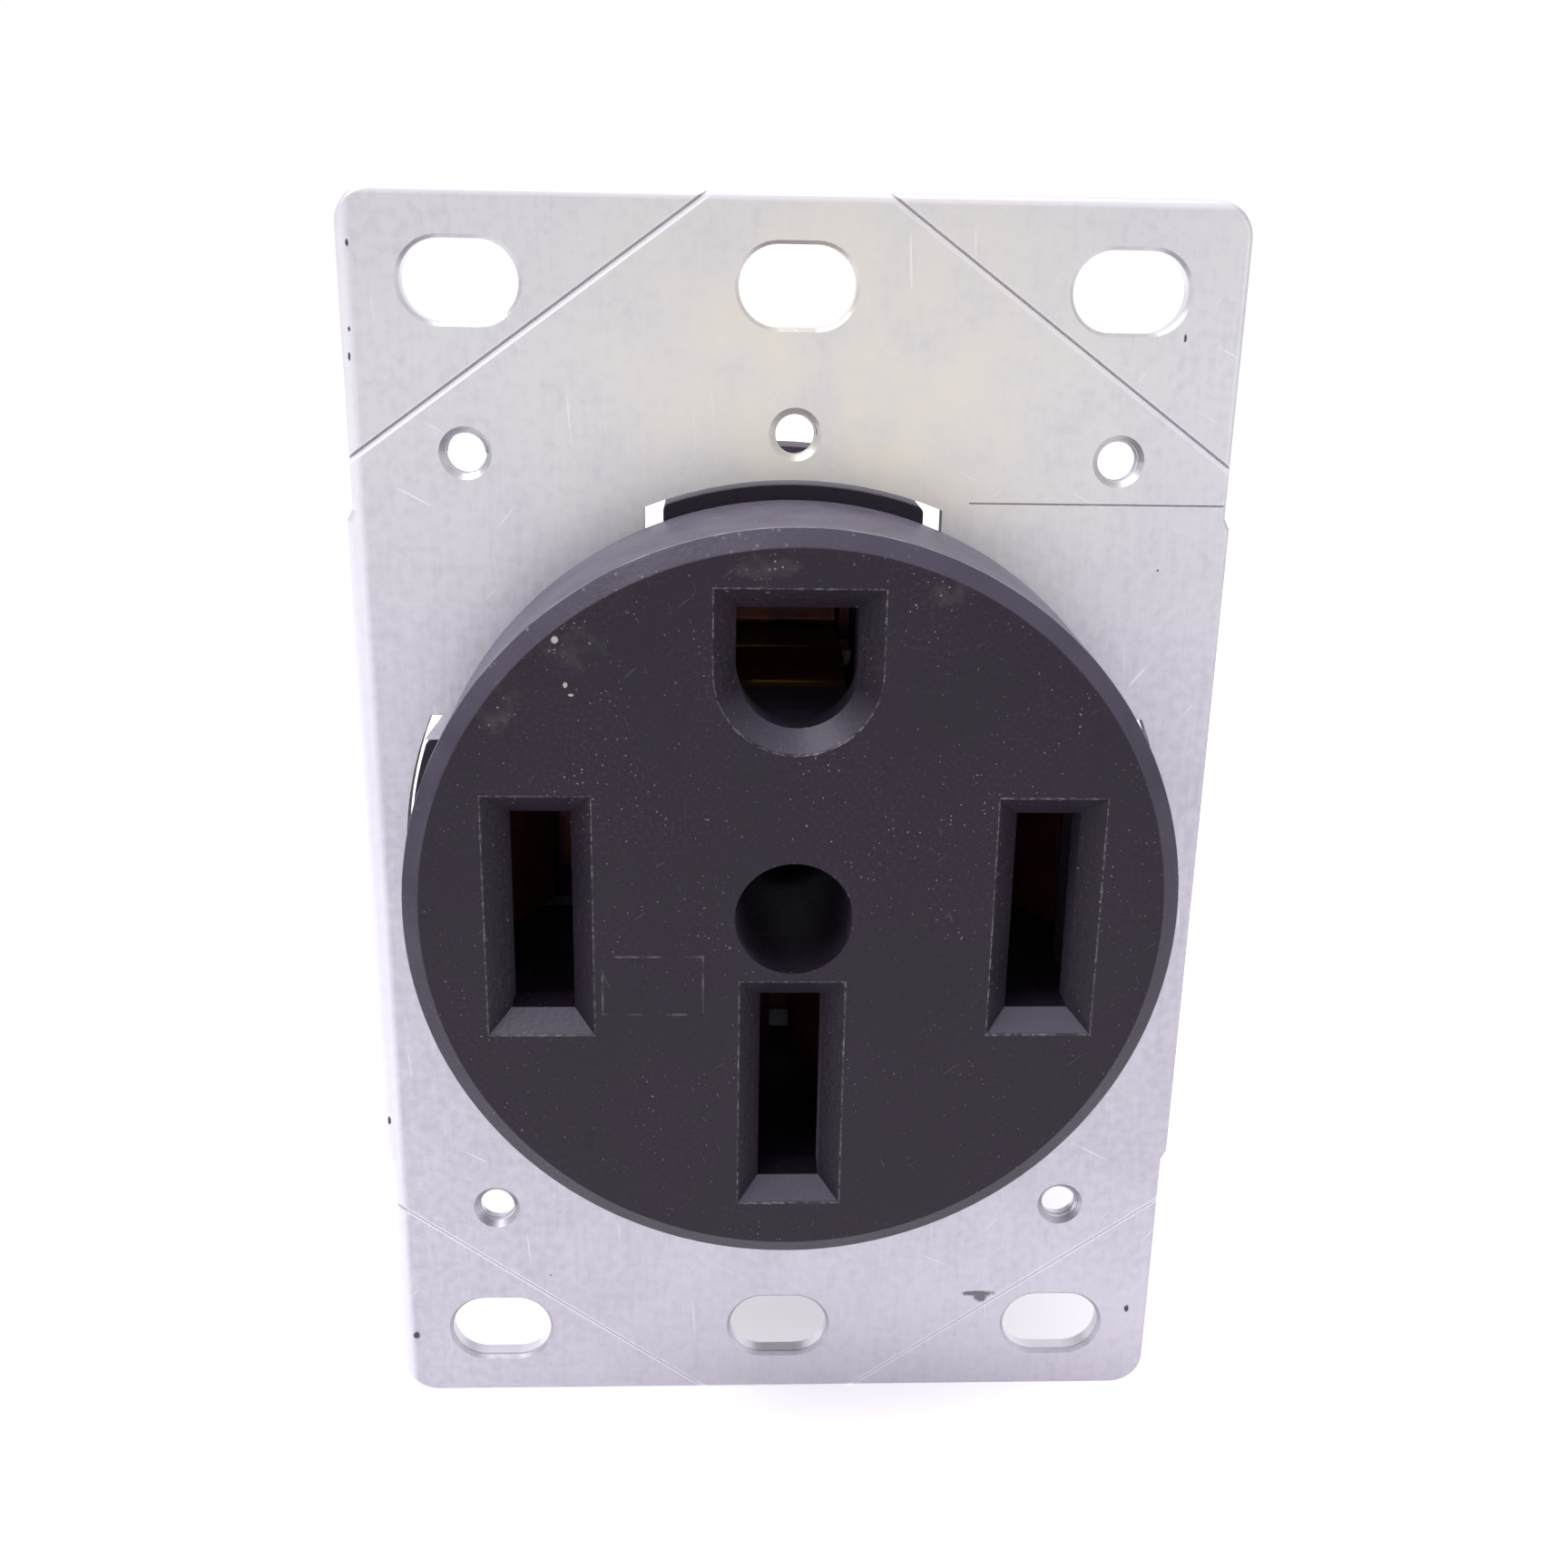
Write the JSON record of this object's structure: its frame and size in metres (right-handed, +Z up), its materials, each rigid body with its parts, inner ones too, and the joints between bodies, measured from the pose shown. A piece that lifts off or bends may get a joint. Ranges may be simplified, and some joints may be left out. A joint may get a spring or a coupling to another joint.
{
  "type": "flush mount receptacle",
  "caption": "Flush mount range receptacle: round black face with straight blade slots and a U ground slot, on a flat plated steel strap for a wall box.",
  "frame": {"origin": "on the axis of the round face, in the front plane of the mounting strap", "axes": "-Y out of the wall towards the user, +Z up along the strap's length, +X to the right of someone facing it"},
  "size_m": [0.0632, 0.0418, 0.0956],
  "materials": {
    "zinc_plate": "zinc plated, satin, with a faint yellowish tint in places",
    "moulded_black": "moulded thermoset, matte, dusty",
    "moulded_rear": "moulded thermoset, matte",
    "contact_brass": "rolled brass strip",
    "spring_steel": "blued spring steel",
    "tinned_lug": "tin plated, satin",
    "plate_steel": "zinc plated steel",
    "screw_brass": "turned brass",
    "screw_silver": "nickel plated",
    "screw_green": "green dye over steel",
    "screw_steel": "zinc plated steel"
  },
  "bodies": {
    "root": {"mounting_strap": "zinc_plate", "front_cover": "moulded_black", "rear_housing": "moulded_rear", "line_x_contact": "contact_brass", "line_x_spring": "spring_steel", "line_x_lug": "tinned_lug", "line_x_pressure_plate": "plate_steel", "line_y_contact": "contact_brass", "line_y_spring": "spring_steel", "line_y_lug": "tinned_lug", "line_y_pressure_plate": "plate_steel", "neutral_contact": "contact_brass", "neutral_spring": "spring_steel", "neutral_lug": "tinned_lug", "neutral_pressure_plate": "plate_steel", "ground_contact": "contact_brass", "ground_spring": "spring_steel", "ground_lug": "tinned_lug", "ground_pressure_plate": "plate_steel", "line_terminal_screws": "screw_brass", "neutral_terminal_screw": "screw_silver", "ground_terminal_screw": "screw_green", "contact_rivets": "screw_brass", "assembly_screws": "screw_steel", "bonding_strip": "contact_brass", "centre_screw": "screw_steel", "centre_nut": "screw_steel"}
  },
  "joints": []
}
